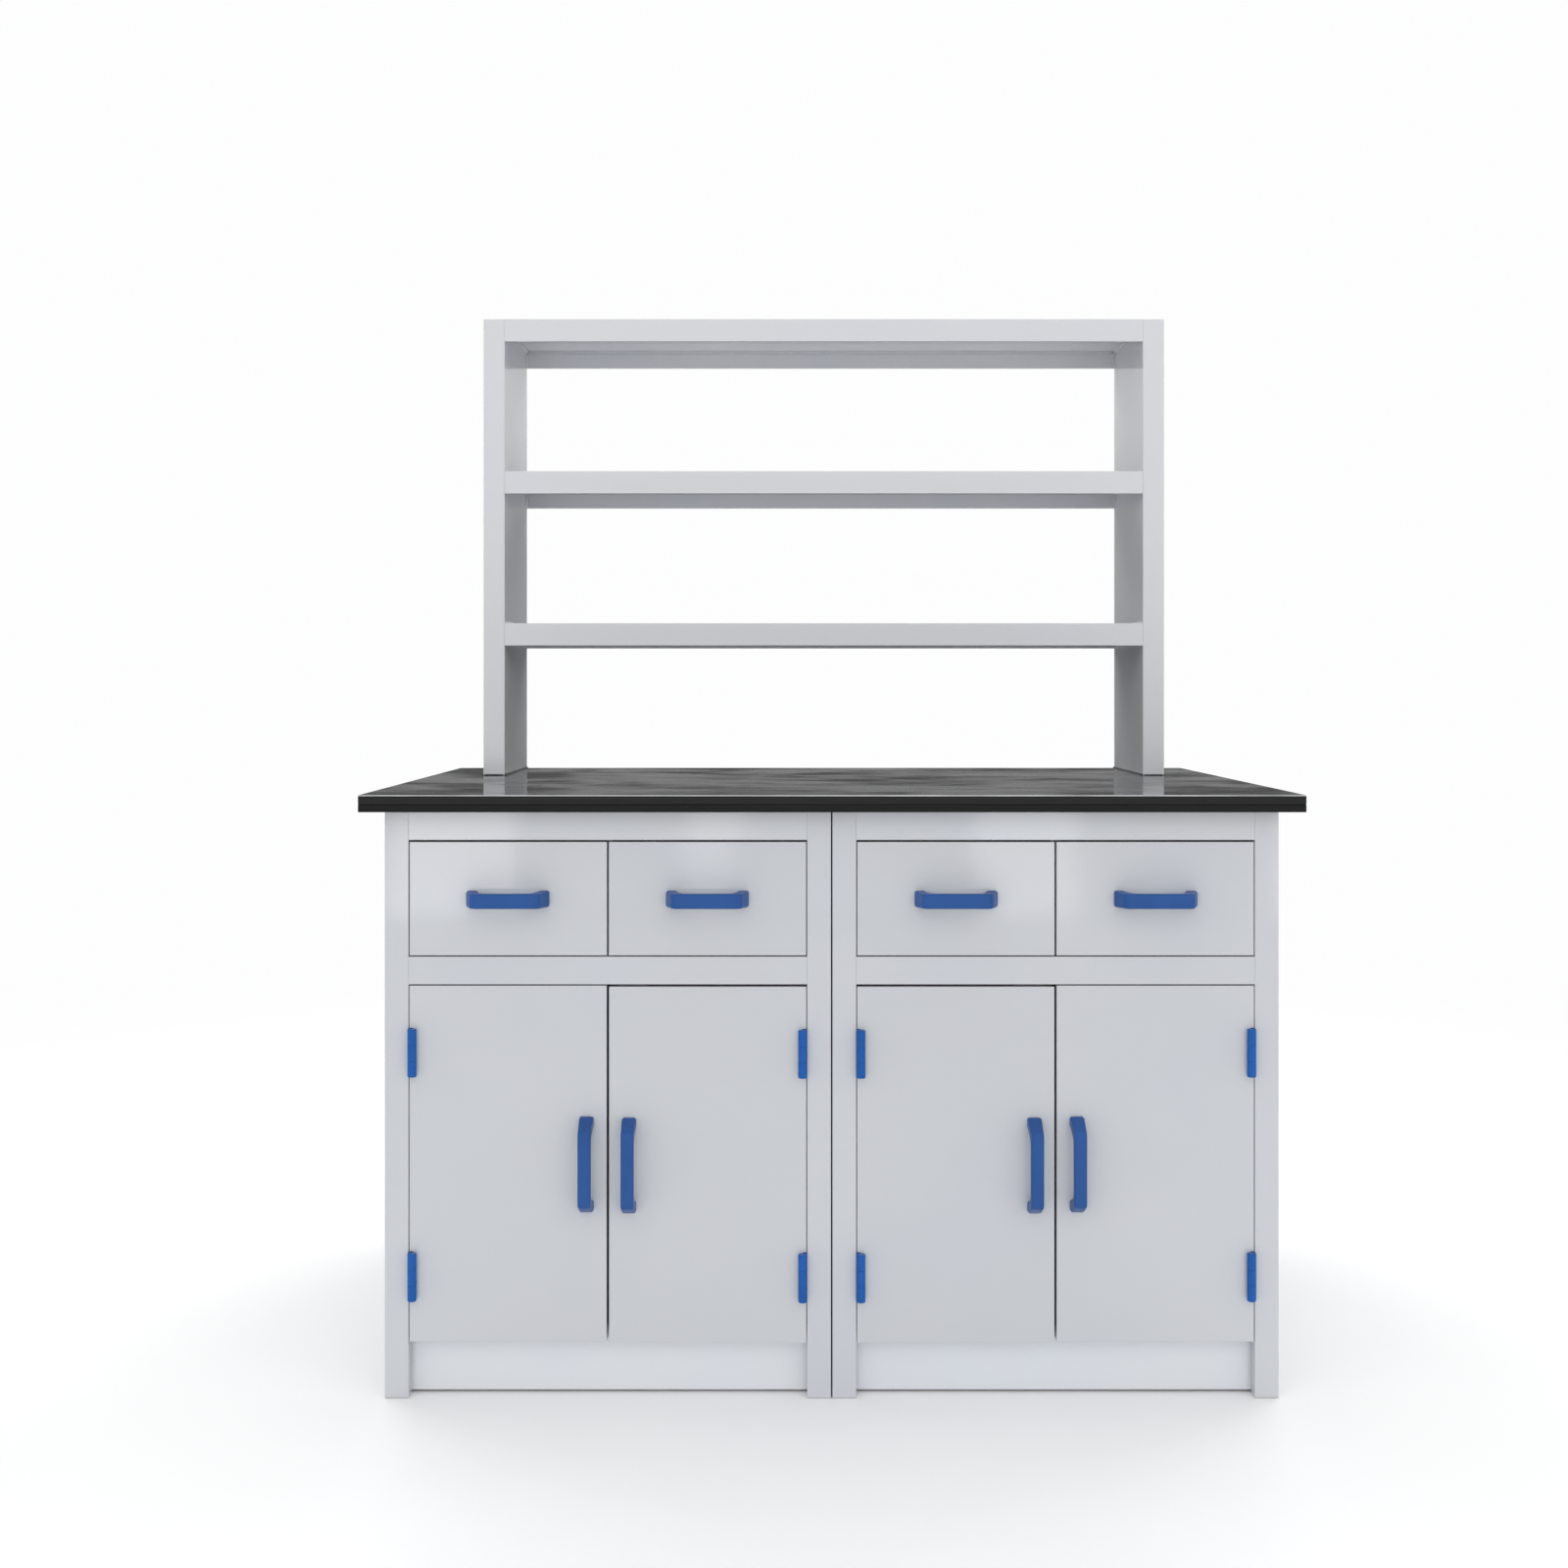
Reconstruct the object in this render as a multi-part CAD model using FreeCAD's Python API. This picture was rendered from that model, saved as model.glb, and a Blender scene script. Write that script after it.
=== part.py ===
import FreeCAD, Part
import math
import os

V = FreeCAD.Vector

# ---------------------------------------------------------------- dimensions
# all in millimetres. X runs along the bench, Y from the front (-) to the wall (+), Z up from the floor.

# worktop
TOP_W = 1260.0          # length of the worktop
TOP_Y0 = -370.0         # front edge
TOP_Y1 = 380.0          # wall edge
SLAB_T = 12.7           # upper layer
EDGE_T = 10.3           # lower layer, edge strips only
STRIP_W = 60.0          # width of an edge strip
PACK_W = 80.0           # packing strip over the joint between the units

# base units
CARC_H = 788.0          # floor to the top of the unit
HALF_W = 600.0          # outer face of a unit from the middle of the bench
HALF_GAP = 1.0          # half of the gap between the units
FACE_Y = -345.0         # front plane of stiles, rails, doors and drawer fronts
FRAME_T = 20.0          # thickness of stiles, rails and doors
BACK_Y = 355.0          # back of the unit
SHEET = 8.0             # carcass sheet
STILE_W = 32.0
EASE = 0.7              # eased edge of a cut sheet

PLINTH_Z0 = 3.0
BOTTOM_Z = 83.0         # underside of the bottom panel
SETBACK = 1.5           # plinth and bottom panel behind the doors
DOOR_Z0 = 75.5
DOOR_Z1 = 553.5
DOOR_DROP = 1.5         # the two doors next to the middle hang this much lower
MID_Z0 = 555.2
MID_Z1 = 592.4
DECK_Z = 560.0
DRAWER_Z0 = 594.0
DRAWER_Z1 = 746.5
RAIL_Z0 = 749.0

SIDE_GAP = 1.0          # door to stile
DRAWER_SIDE_GAP = 1.2
DOOR_MID_GAP = 3.0      # between two doors
DRAWER_MID_GAP = 2.5    # between two drawer fronts

# drawers
FRONT_T = 12.0          # applied front
BOX_WALL = 8.0
BOX_BOTTOM = 5.0
BOX_Z0 = 604.0
BOX_Z1 = 714.0
BOX_LEN = 480.0
TONGUE_Z = 661.0        # middle of the guide tongue
TONGUE_H = 12.0
TONGUE_D = 10.0
CHANNEL_H = 24.0
CHANNEL_SLOT = 12.8
CHANNEL_LEN = 484.0

# doors
DOOR_SKIN = 8.0
DOOR_RIM = 12.0
DOOR_HINGE_RIM = 24.0
LINING_T = 5.0
LINING_GAP = 0.4

# hinges
HINGE_H = 64.0
HINGE_OFF = 150.0       # above and below the middle of the door
BARREL_R = 6.0
PIN_R = 2.5
LEAF_T = 2.5
KNUCKLE = 11.0          # half height of the middle knuckle

# handles
HANDLE_OUT = 35.0       # projection from the face
HANDLE_BAR = 11.5       # thickness of the grip
HANDLE_FOOT = 15.0
SCREW_IN = 11.5         # depth of the screw in a handle foot
DRAWER_PITCH = 96.0     # screw centres
DOOR_PITCH = 112.0
DRAWER_GRIP_W = 19.5
DOOR_GRIP_W = 16.8
DRAWER_LEG_SLOPE = 10.0
DOOR_LEG_SLOPE = 14.0
DOOR_HANDLE_IN = 27.0   # handle middle from the free edge of the door

# cupboard shelf
SHELF_Z = 320.0
SHELF_Y0 = -262.0
PEG_R = 3.5

# rack
RACK_W = 1095.0
RACK_D = 250.0
RACK_H = 734.0
POST_T = 34.0
POST_WALL = 6.0
RACK_LIP = 36.0         # height of the turned-down edges
RACK_STEP = 244.7       # from one shelf top to the next

# ---------------------------------------------------------------- derived
TOP_Z0 = CARC_H
SLAB_Z = CARC_H + EDGE_T
TOP_Z = SLAB_Z + SLAB_T
FRAME_Y = FACE_Y + FRAME_T
OPEN_X0 = -HALF_W + STILE_W            # opening of the left unit
OPEN_X1 = -HALF_GAP - STILE_W
MID_X = 0.5 * (OPEN_X0 + OPEN_X1)
IN_X0 = -HALF_W + SHEET                # inside of the left unit
IN_X1 = -HALF_GAP - SHEET
DOOR_MZ = 0.5 * (DOOR_Z0 + DOOR_Z1)
DRAWER_MZ = 0.5 * (DRAWER_Z0 + DRAWER_Z1)

os.makedirs("parts", exist_ok=True)


# ---------------------------------------------------------------- helpers
def box(x0, x1, y0, y1, z0, z1):
    return Part.makeBox(x1 - x0, y1 - y0, z1 - z0, V(x0, y0, z0))


def eased(x0, x1, y0, y1, z0, z1, r=EASE):
    b = box(x0, x1, y0, y1, z0, z1)
    return b.makeFillet(r, b.Edges)


def cyl(r, p, d, h):
    return Part.makeCylinder(r, h, V(*p), V(*d))


def mirrored(shape, x=0.0):
    return shape.mirror(V(x, 0, 0), V(1, 0, 0))


def save(name, solids):
    if not isinstance(solids, list):
        solids = [solids]
    out = []
    for s in solids:
        for k in s.Solids:
            assert k.isValid() and k.Volume > 0, name
            out.append(k)
    shape = out[0] if len(out) == 1 else Part.makeCompound(out)
    shape.exportStep("parts/%s.step" % name)


def both(*solids):
    """A left-hand set and its mirror image."""
    return list(solids) + [mirrored(s) for s in solids]


def rounded_wire(points, radii):
    """Closed wire in the XY plane through the points, with each corner rounded."""
    n = len(points)
    ins, mids, outs = [], [], []
    for i in range(n):
        p, a, b = V(*points[i], 0), V(*points[i - 1], 0), V(*points[(i + 1) % n], 0)
        u, w = (a - p).normalize(), (b - p).normalize()
        r = radii[i]
        if r <= 0:
            ins.append(p), mids.append(None), outs.append(p)
            continue
        half = 0.5 * math.acos(max(-1, min(1, u.dot(w))))
        t = r / math.tan(half)
        bis = (u + w).normalize()
        centre = p + bis * (r / math.sin(half))
        ins.append(p + u * t), outs.append(p + w * t)
        mids.append(centre - bis * r)
    edges = []
    for i in range(n):
        if mids[i] is not None:
            edges.append(Part.Arc(ins[i], mids[i], outs[i]).toShape())
        q = ins[(i + 1) % n]
        if (q - outs[i]).Length > 1e-6:
            edges.append(Part.makeLine(outs[i], q))
    return Part.Wire(edges)


# ---------------------------------------------------------------- pull handle
def handle(pitch, grip_w, slope):
    """Grip along X, standing out along -Y from y = 0, screw holes at the feet."""
    half = 0.5 * (pitch + HANDLE_FOOT)
    inn = half - HANDLE_FOOT
    out, bar = HANDLE_OUT, HANDLE_BAR
    pts = [
        (half, 0), (half, -6.0), (half - slope, -out), (-half + slope, -out),
        (-half, -6.0), (-half, 0), (-inn, 0), (-inn, -4.0),
        (-inn + slope * 0.75, -out + bar), (inn - slope * 0.75, -out + bar),
        (inn, -4.0), (inn, 0),
    ]
    radii = [0, 5.0, 10.0, 10.0, 5.0, 0, 0, 4.0, 8.0, 8.0, 4.0, 0]
    side = Part.Face(rounded_wire(pts, radii))
    wide = 0.5 * grip_w + 1.2
    body = side.extrude(V(0, 0, 2 * wide + 4)).translated(V(0, 0, -wide - 2))
    # the feet are a little wider than the grip
    draft = Part.Face(Part.makePolygon([
        V(0, 1, wide), V(0, -out - 1, 0.5 * grip_w), V(0, -out - 1, -0.5 * grip_w),
        V(0, 1, -wide), V(0, 1, wide),
    ])).extrude(V(2 * half + 20, 0, 0)).translated(V(-half - 10, 0, 0))
    body = body.common(draft).Solids[0]
    long_edges = []
    for f in body.Faces:
        if f.Surface.TypeId == "Part::GeomPlane" and abs(f.normalAt(0, 0).z) > 0.9:
            for e in f.Edges:
                if max(abs(v.Point.y) for v in e.Vertexes) > 0.01:
                    long_edges.append(e)
    body = body.makeFillet(3.2, long_edges)
    for s in (-1, 1):
        body = body.cut(cyl(2.05, (s * 0.5 * pitch, 0.5, 0), (0, -1, 0), SCREW_IN + 2.0))
    return body.Solids[0]


def upright(shape):
    """Turn a handle so that its grip stands along Z."""
    s = shape.copy()
    s.rotate(V(0, 0, 0), V(0, 1, 0), 90)
    return s


def moved(shape, x, y, z):
    s = shape.copy()
    s.translate(V(x, y, z))
    return s


def pan_screw(r, head_r, head_h, length):
    """Shank along -Y from y = 0, low domed head on the +Y side."""
    head = cyl(head_r, (0, 0, 0), (0, 1, 0), head_h)
    head = head.makeFillet(0.8 * head_h * 0.9, [
        e for e in head.Edges if abs(e.CenterOfMass.y - head_h) < 1e-6 and e.Closed
    ][:1])
    cross = Part.makeCompound([
        box(-head_r * 0.55, head_r * 0.55, head_h - 1.2, head_h + 1, -0.45, 0.45),
        box(-0.45, 0.45, head_h - 1.2, head_h + 1, -head_r * 0.55, head_r * 0.55),
    ])
    s = head.fuse(cyl(r, (0, 0, 0), (0, -1, 0), length)).removeSplitter()
    for b in cross.Solids:
        s = s.cut(b)
    return s.Solids[0]


def flat_screw(p, d, length=16.0):
    """Countersunk screw: top of the head at p, shank along d."""
    s = Part.makeCone(3.1, 1.6, 1.7, V(*p), V(*d))
    s = s.fuse(Part.makeCylinder(1.6, length, V(*p), V(*d))).removeSplitter()
    x, y, z = p
    s = s.cut(box(x - 0.9, x + 0.9, y - 1.7, y + 1.7, z - 0.4, z + 0.4))
    s = s.cut(box(x - 0.9, x + 0.9, y - 0.4, y + 0.4, z - 1.7, z + 1.7))
    return s.Solids[0]


def screw_hole(p, d, length=16.0):
    s = Part.makeCone(3.25, 1.7, 1.75, V(*p), V(*d))
    return s.fuse(Part.makeCylinder(1.7, length + 1.0, V(*p), V(*d)))


# ---------------------------------------------------------------- hinges
# built for the outer door of the left unit, mirrored for the others
AXIS_X = OPEN_X0 + BARREL_R
AXIS_Y = FACE_Y - BARREL_R - 0.5
FRAME_LEAF_X = (OPEN_X0, OPEN_X0 + LEAF_T)
DOOR_LEAF_X = (OPEN_X0 + LEAF_T + 0.5, OPEN_X0 + 2 * LEAF_T + 0.5)
LEAF_Y0 = FACE_Y + 0.5
LEAF_Y1 = FRAME_Y - 2.0
SCREW_Y = FACE_Y + 9.5
FRAME_SCREW_DZ = (-24.0, 24.0)
DOOR_SCREW_DZ = (-14.0, 14.0)


def tube(r0, r1, z0, z1):
    c = Part.makeCylinder(r1, z1 - z0, V(AXIS_X, AXIS_Y, z0), V(0, 0, 1))
    return c.cut(Part.makeCylinder(r0, z1 - z0 + 2, V(AXIS_X, AXIS_Y, z0 - 1), V(0, 0, 1)))


def frame_leaf(zc):
    h = 0.5 * HINGE_H
    x0, x1 = FRAME_LEAF_X
    leaf = box(x0, x1, LEAF_Y0, LEAF_Y1, zc - h, zc + h)
    for z0, z1 in ((zc - h, zc - KNUCKLE), (zc + KNUCKLE, zc + h)):
        arm = box(x0, x1, AXIS_Y, LEAF_Y0, z0, z1)
        bore = Part.makeCylinder(PIN_R + 0.02, z1 - z0 + 2, V(AXIS_X, AXIS_Y, z0 - 1), V(0, 0, 1))
        barrel = Part.makeCylinder(BARREL_R, z1 - z0, V(AXIS_X, AXIS_Y, z0), V(0, 0, 1))
        rim = [e for e in barrel.Edges if e.Closed and (
            abs(e.CenterOfMass.z - (zc - h)) < 1e-6 or abs(e.CenterOfMass.z - (zc + h)) < 1e-6)]
        barrel = barrel.makeFillet(1.2, rim)
        leaf = leaf.fuse(arm).fuse(barrel).cut(bore)
    leaf = leaf.removeSplitter()
    for dz in FRAME_SCREW_DZ:
        leaf = leaf.cut(screw_hole((x1, SCREW_Y, zc + dz), (-1, 0, 0)))
    return leaf.Solids[0]


def door_leaf(zc):
    h = 0.5 * HINGE_H
    k = KNUCKLE - 0.3
    x0, x1 = DOOR_LEAF_X
    leaf = box(x0, x1, LEAF_Y0 + 0.3, LEAF_Y1, zc - h, zc + h)
    arm = box(x0, x1, AXIS_Y + 4.0, LEAF_Y0 + 0.3, zc - k, zc + k)
    leaf = leaf.fuse(arm).fuse(tube(PIN_R + 0.05, BARREL_R, zc - k, zc + k)).removeSplitter()
    for dz in DOOR_SCREW_DZ:
        leaf = leaf.cut(screw_hole((x0, SCREW_Y, zc + dz), (1, 0, 0)))
    return leaf.Solids[0]


def hinge_heights(drop):
    return (DOOR_MZ - drop - HINGE_OFF, DOOR_MZ - drop + HINGE_OFF)


def hinge_pin(zc):
    return Part.makeCylinder(
        PIN_R, HINGE_H - 1.0, V(AXIS_X, AXIS_Y, zc - 0.5 * HINGE_H + 0.5), V(0, 0, 1))


# ---------------------------------------------------------------- doors
DOOR_X0 = OPEN_X0 + SIDE_GAP
DOOR_X1 = MID_X - 0.5 * DOOR_MID_GAP
DOOR_HANDLE_X = DOOR_X1 - DOOR_HANDLE_IN
HANDLE_SCREW = pan_screw(2.0, 4.2, 2.6, FRAME_T + SCREW_IN)
STRIKE_X = (DOOR_X1 - 48.0, DOOR_X1 - 14.0)


def door(drop):
    z0, z1 = DOOR_Z0 - drop, DOOR_Z1 - drop
    mz = 0.5 * (z0 + z1)
    x0, x1 = DOOR_X0, DOOR_X1
    xi0, xi1 = x0 + DOOR_HINGE_RIM, x1 - DOOR_RIM
    zi0, zi1 = z0 + DOOR_RIM, z1 - DOOR_RIM
    tray = eased(x0, x1, FACE_Y, FRAME_Y, z0, z1, 1.0)
    tray = tray.cut(box(xi0, xi1, FACE_Y + DOOR_SKIN, FRAME_Y + 1, zi0, zi1))
    for s in (-1, 1):
        p = (DOOR_HANDLE_X, FACE_Y + DOOR_SKIN - 0.5, mz + s * 0.5 * DOOR_PITCH)
        tray = tray.fuse(cyl(8.0, p, (0, 1, 0), FRAME_T - DOOR_SKIN - LINING_T + 0.5))
    lining = box(xi0 + LINING_GAP, xi1 - LINING_GAP, FRAME_Y - LINING_T, FRAME_Y,
                 zi0 + LINING_GAP, zi1 - LINING_GAP)
    lining = lining.makeFillet(0.5, [
        e for e in lining.Edges if abs(e.CenterOfMass.y - FRAME_Y) < 1e-6])
    for s in (-1, 1):
        hole = cyl(2.25, (DOOR_HANDLE_X, FACE_Y - 1, mz + s * 0.5 * DOOR_PITCH), (0, 1, 0), 30.0)
        tray = tray.cut(hole)
        lining = lining.cut(hole)
    fittings = [
        moved(HANDLE_SCREW, DOOR_HANDLE_X, FRAME_Y, mz + s * 0.5 * DOOR_PITCH) for s in (-1, 1)]
    leaves = []
    for zc in hinge_heights(drop):
        h = 0.5 * HINGE_H + 0.5
        tray = tray.cut(box(x0 - 1, DOOR_LEAF_X[1], FACE_Y - 1, FRAME_Y + 1, zc - h, zc + h))
        leaves.append(door_leaf(zc))
        for dz in DOOR_SCREW_DZ:
            p = (DOOR_LEAF_X[0], SCREW_Y, zc + dz)
            tray = tray.cut(screw_hole(p, (1, 0, 0)))
            fittings.append(flat_screw(p, (1, 0, 0)))
    strike = eased(STRIKE_X[0], STRIKE_X[1], FRAME_Y, FRAME_Y + 1.4, z1 - 15.0, z1 - 3.0, 0.4)
    fittings.append(strike)
    grip = moved(upright(handle(DOOR_PITCH, DOOR_GRIP_W, DOOR_LEG_SLOPE)),
                 DOOR_HANDLE_X, FACE_Y, mz)
    return {
        "panel": [tray.Solids[0], lining.Solids[0]],
        "handle": [grip],
        "hinge_leaves": leaves,
        "fittings": fittings,
    }


outer = door(0.0)
inner = {k: [mirrored(s, MID_X) for s in v] for k, v in door(DOOR_DROP).items()}
for kind in outer:
    save("door_1_" + kind, outer[kind])
    save("door_2_" + kind, inner[kind])
    save("door_3_" + kind, [mirrored(s) for s in inner[kind]])
    save("door_4_" + kind, [mirrored(s) for s in outer[kind]])

leaf_o = [frame_leaf(z) for z in hinge_heights(0.0)]
leaf_i = [mirrored(frame_leaf(z), MID_X) for z in hinge_heights(DOOR_DROP)]
pin_o = [hinge_pin(z) for z in hinge_heights(0.0)]
pin_i = [mirrored(hinge_pin(z), MID_X) for z in hinge_heights(DOOR_DROP)]
save("hinge_frame_leaves", both(*(leaf_o + leaf_i)))
save("hinge_pins", both(*(pin_o + pin_i)))


def stile_screws(drop, tool):
    return [tool((FRAME_LEAF_X[1], SCREW_Y, z + dz), (-1, 0, 0))
            for z in hinge_heights(drop) for dz in FRAME_SCREW_DZ]


save("hinge_screws", both(*(
    stile_screws(0.0, flat_screw)
    + [mirrored(s, MID_X) for s in stile_screws(DOOR_DROP, flat_screw)])))

# ---------------------------------------------------------------- drawers
DR_X0 = OPEN_X0 + DRAWER_SIDE_GAP
DR_X1 = MID_X - 0.5 * DRAWER_MID_GAP
DIV_X0, DIV_X1 = MID_X - 0.5 * SHEET, MID_X + 0.5 * SHEET
BOX_X0 = OPEN_X0 + 13.0
BOX_X1 = DIV_X0 - 15.0
BOX_Y0 = FACE_Y + FRONT_T
BOX_Y1 = BOX_Y0 + BOX_LEN
DR_MX = 0.5 * (DR_X0 + DR_X1)
CH_Y0 = FRAME_Y + 1.0


def drawer():
    front = eased(DR_X0, DR_X1, FACE_Y, FACE_Y + FRONT_T, DRAWER_Z0, DRAWER_Z1, 1.0)
    w, y0, y1 = BOX_WALL, BOX_Y0, BOX_Y1
    head = box(BOX_X0, BOX_X1, y0, y0 + w, BOX_Z0, BOX_Z1)
    left = box(BOX_X0, BOX_X0 + w, y0 + w, y1 - w, BOX_Z0, BOX_Z1)
    right = box(BOX_X1 - w, BOX_X1, y0 + w, y1 - w, BOX_Z0, BOX_Z1)
    tail = box(BOX_X0, BOX_X1, y1 - w, y1, BOX_Z0, BOX_Z1)
    walls = []
    for s in (head, left, right, tail):
        walls.append(s.makeFillet(EASE, [
            e for e in s.Edges
            if abs(e.Vertexes[0].Z - BOX_Z1) < 1e-6 and abs(e.Vertexes[1].Z - BOX_Z1) < 1e-6]))
    floor = box(BOX_X0 + w, BOX_X1 - w, y0 + w, y1 - w, BOX_Z0, BOX_Z0 + BOX_BOTTOM)
    tz0, tz1 = TONGUE_Z - 0.5 * TONGUE_H, TONGUE_Z + 0.5 * TONGUE_H
    tongues = [
        eased(BOX_X0 - TONGUE_D, BOX_X0, y0 + 13.0, y1 - 7.0, tz0, tz1),
        eased(BOX_X1, BOX_X1 + TONGUE_D, y0 + 13.0, y1 - 7.0, tz0, tz1),
    ]
    screws = []
    for s in (-1, 1):
        p = (DR_MX + s * 0.5 * DRAWER_PITCH, FACE_Y - 1, DRAWER_MZ)
        hole = cyl(2.25, p, (0, 1, 0), 40.0)
        front = front.cut(hole)
        walls[0] = walls[0].cut(hole)
        screws.append(moved(HANDLE_SCREW, p[0], FRAME_Y, p[2]))
    # four short screws hold the applied front to the box
    short = pan_screw(1.8, 3.6, 2.2, BOX_WALL + 8.0)
    for sx in (-1, 1):
        for z in (BOX_Z0 + 24.0, BOX_Z1 - 14.0):
            x = 0.5 * (BOX_X0 + BOX_X1) + sx * 92.0
            hole = cyl(1.9, (x, FRAME_Y + 1, z), (0, -1, 0), BOX_WALL + 9.5)
            front = front.cut(hole)
            walls[0] = walls[0].cut(hole)
            screws.append(moved(short, x, FRAME_Y, z))
    grip = moved(handle(DRAWER_PITCH, DRAWER_GRIP_W, DRAWER_LEG_SLOPE), DR_MX, FACE_Y, DRAWER_MZ)
    return {
        "front": [front.Solids[0]],
        "box": [s.Solids[0] for s in walls] + [floor] + tongues,
        "handle": [grip],
        "screws": screws,
    }


dr = drawer()
dr2 = {k: [mirrored(s, MID_X) for s in v] for k, v in dr.items()}
for kind in dr:
    save("drawer_1_" + kind, dr[kind])
    save("drawer_2_" + kind, dr2[kind])
    save("drawer_3_" + kind, [mirrored(s) for s in dr2[kind]])
    save("drawer_4_" + kind, [mirrored(s) for s in dr[kind]])


def channel(x_back, x_mouth):
    """Guide channel, open towards x_mouth, fixed at x_back."""
    z0, z1 = TONGUE_Z - 0.5 * CHANNEL_H, TONGUE_Z + 0.5 * CHANNEL_H
    lo, hi = min(x_back, x_mouth), max(x_back, x_mouth)
    c = box(lo, hi, CH_Y0, CH_Y0 + CHANNEL_LEN, z0, z1)
    s = 1 if x_mouth > x_back else -1
    a, b = x_mouth - s * (TONGUE_D + 0.5), x_mouth + s
    slot = box(min(a, b), max(a, b), CH_Y0 - 1, CH_Y0 + CHANNEL_LEN + 1,
               TONGUE_Z - 0.5 * CHANNEL_SLOT, TONGUE_Z + 0.5 * CHANNEL_SLOT)
    return c.cut(slot).Solids[0]


ch = [channel(IN_X0, BOX_X0 - 0.6), channel(DIV_X0, BOX_X1 + 0.6)]
# the right-hand bay of the same unit: against the divider and the inner side panel
ch += [mirrored(ch[1], MID_X)]
ch += [channel(IN_X1, 2 * MID_X - BOX_X0 + 0.6)]
save("drawer_channels", both(*ch))

# ---------------------------------------------------------------- base units
CATCH_Y0 = FRAME_Y + 1.8


def peg_points():
    for y in (-200.0, 270.0):
        yield y


peg_z = SHELF_Z - PEG_R - 0.05
peg_holes_outer = [cyl(PEG_R + 0.05, (IN_X0 + 1, y, peg_z), (-1, 0, 0), 6.0) for y in peg_points()]
peg_holes_inner = [cyl(PEG_R + 0.05, (IN_X1 - 1, y, peg_z), (1, 0, 0), 6.0) for y in peg_points()]


def peg(x, y, s):
    """Stub in the side panel, thin collar on the face, rounded end under the shelf."""
    stub = cyl(PEG_R, (x - s * 4.8, y, peg_z), (s, 0, 0), 16.8)
    stub = stub.makeFillet(0.9, [e for e in stub.Edges if abs(e.CenterOfMass.x - (x + s * 12.0)) < 1e-6 and e.Closed])
    return stub.fuse(cyl(PEG_R + 2.2, (x, y, peg_z), (s, 0, 0), 0.8)).removeSplitter().Solids[0]


pegs = [peg(IN_X0, y, 1) for y in peg_points()] + [peg(IN_X1, y, -1) for y in peg_points()]
save("shelf_pegs", both(*pegs))

end_panel = box(-HALF_W, IN_X0, FRAME_Y, BACK_Y, 0, CARC_H)
end_panel = end_panel.makeFillet(EASE, [
    e for e in end_panel.Edges if abs(e.CenterOfMass.x + HALF_W) < 1e-6])
for h in peg_holes_outer:
    end_panel = end_panel.cut(h)
save("left_end_panel", end_panel.Solids[0])
save("right_end_panel", mirrored(end_panel.Solids[0]))

inner_side = box(IN_X1, -HALF_GAP, FRAME_Y, BACK_Y, 0, CARC_H)
for h in peg_holes_inner:
    inner_side = inner_side.cut(h)
save("inner_side_panels", both(inner_side.Solids[0]))

stile_o = eased(-HALF_W, OPEN_X0, FACE_Y, FRAME_Y, 0, CARC_H, EASE)
for h in stile_screws(0.0, screw_hole):
    stile_o = stile_o.cut(h)
stile_i = eased(OPEN_X1, -HALF_GAP, FACE_Y, FRAME_Y, 0, CARC_H, EASE)
for h in stile_screws(DOOR_DROP, screw_hole):
    stile_i = stile_i.cut(mirrored(h, MID_X))
save("front_stiles", both(stile_o.Solids[0], stile_i.Solids[0]))

save("top_rails", both(eased(OPEN_X0, OPEN_X1, FACE_Y, FRAME_Y, RAIL_Z0, CARC_H)))
save("mid_rails", both(eased(OPEN_X0, OPEN_X1, FACE_Y, FRAME_Y, MID_Z0, MID_Z1)))
PLINTH_Y = FRAME_Y + SETBACK
save("plinths", both(eased(IN_X0, IN_X1, PLINTH_Y, PLINTH_Y + SHEET, PLINTH_Z0, BOTTOM_Z, 0.5)))
save("bottom_panels", both(eased(IN_X0, IN_X1, PLINTH_Y, BACK_Y - SHEET,
                                 BOTTOM_Z, BOTTOM_Z + SHEET, 0.5)))
save("back_panels", both(box(IN_X0, IN_X1, BACK_Y - SHEET, BACK_Y, BOTTOM_Z, CARC_H)))
save("drawer_decks", both(box(IN_X0, IN_X1, FRAME_Y, BACK_Y - SHEET, DECK_Z, DECK_Z + SHEET)))
save("drawer_dividers", both(box(DIV_X0, DIV_X1, FRAME_Y + 1.0, BACK_Y - SHEET,
                                 DECK_Z + SHEET, CARC_H)))

shelf = eased(IN_X0 + 1.0, IN_X1 - 1.0, SHELF_Y0, BACK_Y - SHEET - 1.0, SHELF_Z, SHELF_Z + SHEET, 0.6)
save("left_shelf", shelf)
save("right_shelf", mirrored(shelf))

# one catch per door, hung under the deck
catch = eased(STRIKE_X[0] - 4.0, STRIKE_X[1] + 4.0, CATCH_Y0, CATCH_Y0 + 15.0,
              DECK_Z - 21.0, DECK_Z, 0.8)
save("door_catches", both(catch, mirrored(catch, MID_X)))

# ---------------------------------------------------------------- worktop
HW = 0.5 * TOP_W
slab = box(-HW, HW, TOP_Y0, TOP_Y1, SLAB_Z, TOP_Z)
slab = slab.makeFillet(1.5, [e for e in slab.Edges if e.CenterOfMass.z > SLAB_Z + 0.5 * SLAB_T + 1])
slab = slab.makeChamfer(0.6, [e for e in slab.Edges if abs(e.CenterOfMass.z - SLAB_Z) < 1e-6])
BOLT_X = 0.5 * RACK_W - 0.5 * POST_T
BOLT_Y = (172.0, 300.0)
bolt_points = [(s * BOLT_X, y) for s in (-1, 1) for y in BOLT_Y]
for x, y in bolt_points:
    slab = slab.cut(cyl(4.2, (x, y, SLAB_Z - 1), (0, 0, 1), SLAB_T + 2))
save("worktop_slab", slab.Solids[0])

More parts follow.
